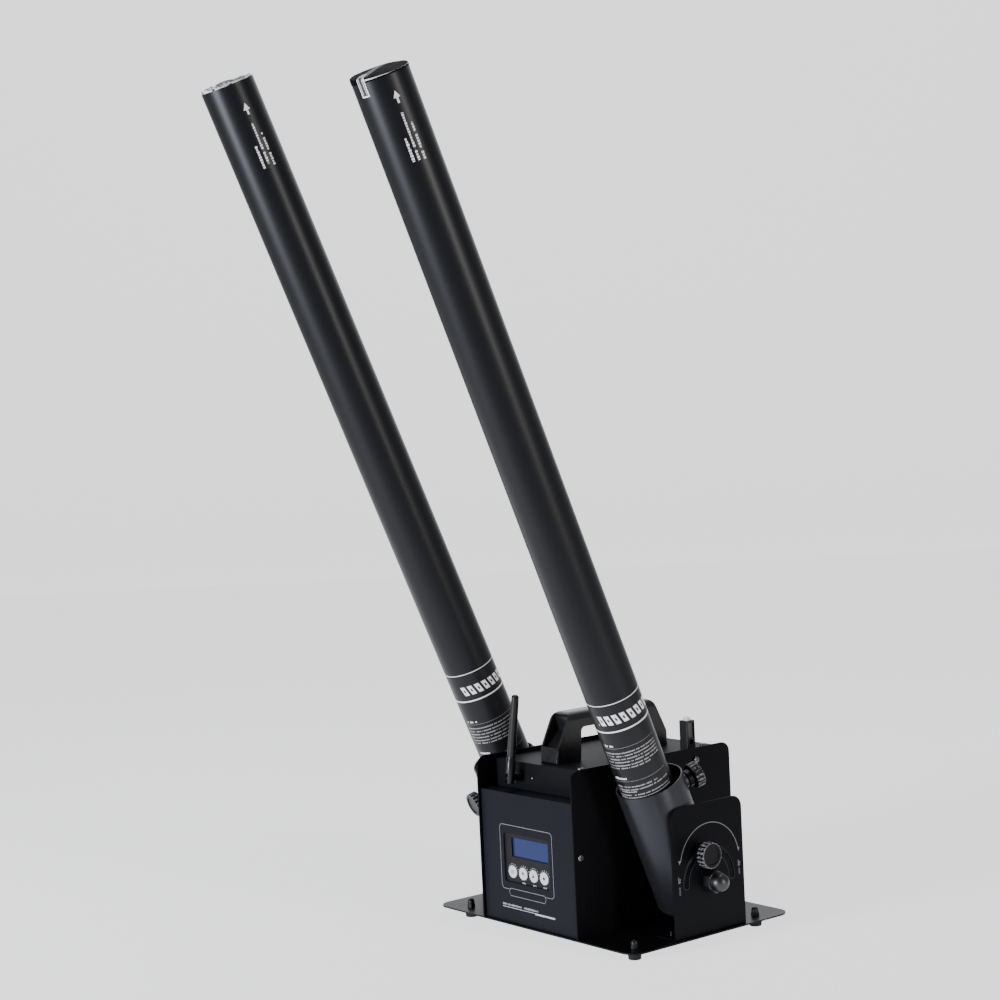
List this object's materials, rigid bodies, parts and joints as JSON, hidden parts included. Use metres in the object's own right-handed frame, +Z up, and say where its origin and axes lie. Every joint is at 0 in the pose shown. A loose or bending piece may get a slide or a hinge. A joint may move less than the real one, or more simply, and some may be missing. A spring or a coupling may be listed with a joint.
{
  "type": "confetti blower",
  "caption": "Electric confetti blower: long barrels in leaning, clamped holders beside a sheet-metal control box with a carry handle, on a base plate with feet.",
  "frame": {"origin": "on the ground under the middle of the base plate, at the feet's undersides", "axes": "+X to the right seen from the control panel; the panel faces -Y and the barrels lean towards -Y; +Z up"},
  "size_m": [0.324, 0.4384, 0.8116],
  "materials": {
    "coated_steel": "fine satin powder coat",
    "panel_coat": "fine satin powder coat, faintly blue",
    "holder_coat": "satin powder coat",
    "black_nut": "gloss black",
    "bright_steel": "bright",
    "bright_cap": "polished",
    "foot_rubber": "matt",
    "bezel_plastic": "matt",
    "display": "gloss, lit blue",
    "key_plastic": "matt",
    "circuit_board": "satin",
    "handle_plastic": "satin moulded",
    "terminal_plastic": "satin moulded",
    "brass_socket": "bright",
    "brass_standoff": "bright",
    "aerial_plastic": "satin rubberised",
    "lamp_lens": "clear",
    "socket_plastic": "matt",
    "socket_metal": "satin",
    "rocker_plastic": "gloss",
    "knob_plastic": "satin moulded",
    "barrel_film": "wrapped in satin black printed film",
    "plug_plastic": "matt",
    "confetti_paper": "coloured paper slips in sleeves",
    "black_film": "gloss black film",
    "silver_foil": "crumpled silver foil"
  },
  "bodies": {
    "base": {"base_plate": "coated_steel", "rubber_feet": "foot_rubber", "foot_screws": "bright_steel", "foot_cap_nuts": "black_nut", "floor_screws": "bright_steel", "housing_screws": "bright_steel", "front_panel": "panel_coat", "top_cover": "coated_steel", "rear_panel": "coated_steel", "display_bezel": "bezel_plastic", "display_glass": "display", "control_board": "circuit_board", "carry_handle": "handle_plastic", "handle_screws": "bright_steel", "terminal_bodies": "terminal_plastic", "antenna_socket": "brass_socket", "status_led": "lamp_lens", "mains_inlet": "socket_plastic", "switch_frame": "socket_plastic", "dmx_in": "socket_metal", "dmx_out": "socket_metal", "power_supply": "circuit_board", "firing_board": "circuit_board", "radio_receiver": "circuit_board", "board_standoffs": "brass_standoff", "right_side_plate": "coated_steel", "right_bracket": "coated_steel", "left_side_plate": "coated_steel", "left_bracket": "coated_steel"},
    "right_holder": {"right_holder_tube": "holder_coat", "right_pivot_cap_nut": "black_nut"},
    "right_tilt_knob": {"right_tilt_knob": "knob_plastic"},
    "right_barrel_knob": {"right_barrel_knob": "knob_plastic"},
    "right_barrel": {"right_barrel_tube": "barrel_film", "right_base_plug": "plug_plastic", "right_gas_cartridge": "bright_steel", "right_confetti_charge": "confetti_paper", "right_mouth_cover": "black_film"},
    "right_terminal": {"right_terminal_plunger": "bright_steel", "right_terminal_cap": "bright_cap"},
    "left_holder": {"left_holder_tube": "holder_coat", "left_pivot_cap_nut": "black_nut"},
    "left_tilt_knob": {"left_tilt_knob": "knob_plastic"},
    "left_barrel_knob": {"left_barrel_knob": "knob_plastic"},
    "left_barrel": {"left_barrel_tube": "barrel_film", "left_base_plug": "plug_plastic", "left_gas_cartridge": "bright_steel", "left_confetti_charge": "confetti_paper", "left_mouth_cover": "silver_foil"},
    "left_terminal": {"left_terminal_plunger": "bright_steel", "left_terminal_cap": "bright_cap"},
    "menu_button": {"menu_button": "key_plastic"},
    "down_button": {"down_button": "key_plastic"},
    "up_button": {"up_button": "key_plastic"},
    "enter_button": {"enter_button": "key_plastic"},
    "antenna_elbow": {"antenna_elbow": "aerial_plastic"},
    "antenna_mast": {"antenna_mast": "aerial_plastic"},
    "rocker": {"switch_rocker": "rocker_plastic"}
  },
  "joints": [
    {"name": "right_tilt", "type": "hinge", "parent": "base", "child": "right_holder", "pos_m": [0.1054, -0.001, 0.0575], "axis": [1, 0, 0], "range_deg": [-100, 67.5]},
    {"name": "right_tilt_knob_turn", "type": "hinge", "parent": "right_holder", "child": "right_tilt_knob", "pos_m": [0.14005, -0.01196, 0.08435], "axis": [1, 0, 0], "range_deg": [0, 360]},
    {"name": "right_barrel_knob_turn", "type": "hinge", "parent": "right_holder", "child": "right_barrel_knob", "pos_m": [0.1156, -0.00184, 0.14788], "axis": [0.2924, 0.8854, 0.3613], "range_deg": [0, 360]},
    {"name": "right_barrel_pull", "type": "slide", "parent": "right_holder", "child": "right_barrel", "axis": [0.014, -0.3931, 0.9194], "range_m": [0, 0.13]},
    {"name": "right_terminal_press", "type": "slide", "parent": "base", "child": "right_terminal", "axis": [0, 0, -1], "range_m": [0, 0.0025], "stiffness_N_per_m": 600},
    {"name": "left_tilt", "type": "hinge", "parent": "base", "child": "left_holder", "pos_m": [-0.1054, -0.001, 0.0575], "axis": [1, 0, 0], "range_deg": [-112, 56]},
    {"name": "left_tilt_knob_turn", "type": "hinge", "parent": "left_holder", "child": "left_tilt_knob", "pos_m": [-0.14005, -0.01196, 0.08435], "axis": [-1, 0, 0], "range_deg": [0, 360]},
    {"name": "left_barrel_knob_turn", "type": "hinge", "parent": "left_holder", "child": "left_barrel_knob", "pos_m": [-0.11266, -0.06019, 0.11219], "axis": [-0.2079, -0.9056, -0.3696], "range_deg": [0, 360]},
    {"name": "left_barrel_pull", "type": "slide", "parent": "left_holder", "child": "left_barrel", "axis": [-0.0197, -0.3899, 0.9207], "range_m": [0, 0.13]},
    {"name": "left_terminal_press", "type": "slide", "parent": "base", "child": "left_terminal", "axis": [0, 0, -1], "range_m": [0, 0.0025], "stiffness_N_per_m": 600},
    {"name": "menu_press", "type": "slide", "parent": "base", "child": "menu_button", "axis": [0, 1, 0], "range_m": [0, 0.0008], "stiffness_N_per_m": 500},
    {"name": "down_press", "type": "slide", "parent": "base", "child": "down_button", "axis": [0, 1, 0], "range_m": [0, 0.0008], "stiffness_N_per_m": 500},
    {"name": "up_press", "type": "slide", "parent": "base", "child": "up_button", "axis": [0, 1, 0], "range_m": [0, 0.0008], "stiffness_N_per_m": 500},
    {"name": "enter_press", "type": "slide", "parent": "base", "child": "enter_button", "axis": [0, 1, 0], "range_m": [0, 0.0008], "stiffness_N_per_m": 500},
    {"name": "antenna_swivel", "type": "hinge", "parent": "base", "child": "antenna_elbow", "pos_m": [-0.031, -0.07875, 0.1469], "axis": [0, 1, 0], "range_deg": [-55, 80]},
    {"name": "antenna_fold", "type": "hinge", "parent": "antenna_elbow", "child": "antenna_mast", "pos_m": [-0.031, -0.09235, 0.1469], "axis": [0.9848, 0, -0.1736], "range_deg": [0, 90]},
    {"name": "rocker_press", "type": "hinge", "parent": "base", "child": "rocker", "pos_m": [0.018, 0.09675, 0.0475], "axis": [1, 0, 0], "range_deg": [0, 16]}
  ]
}
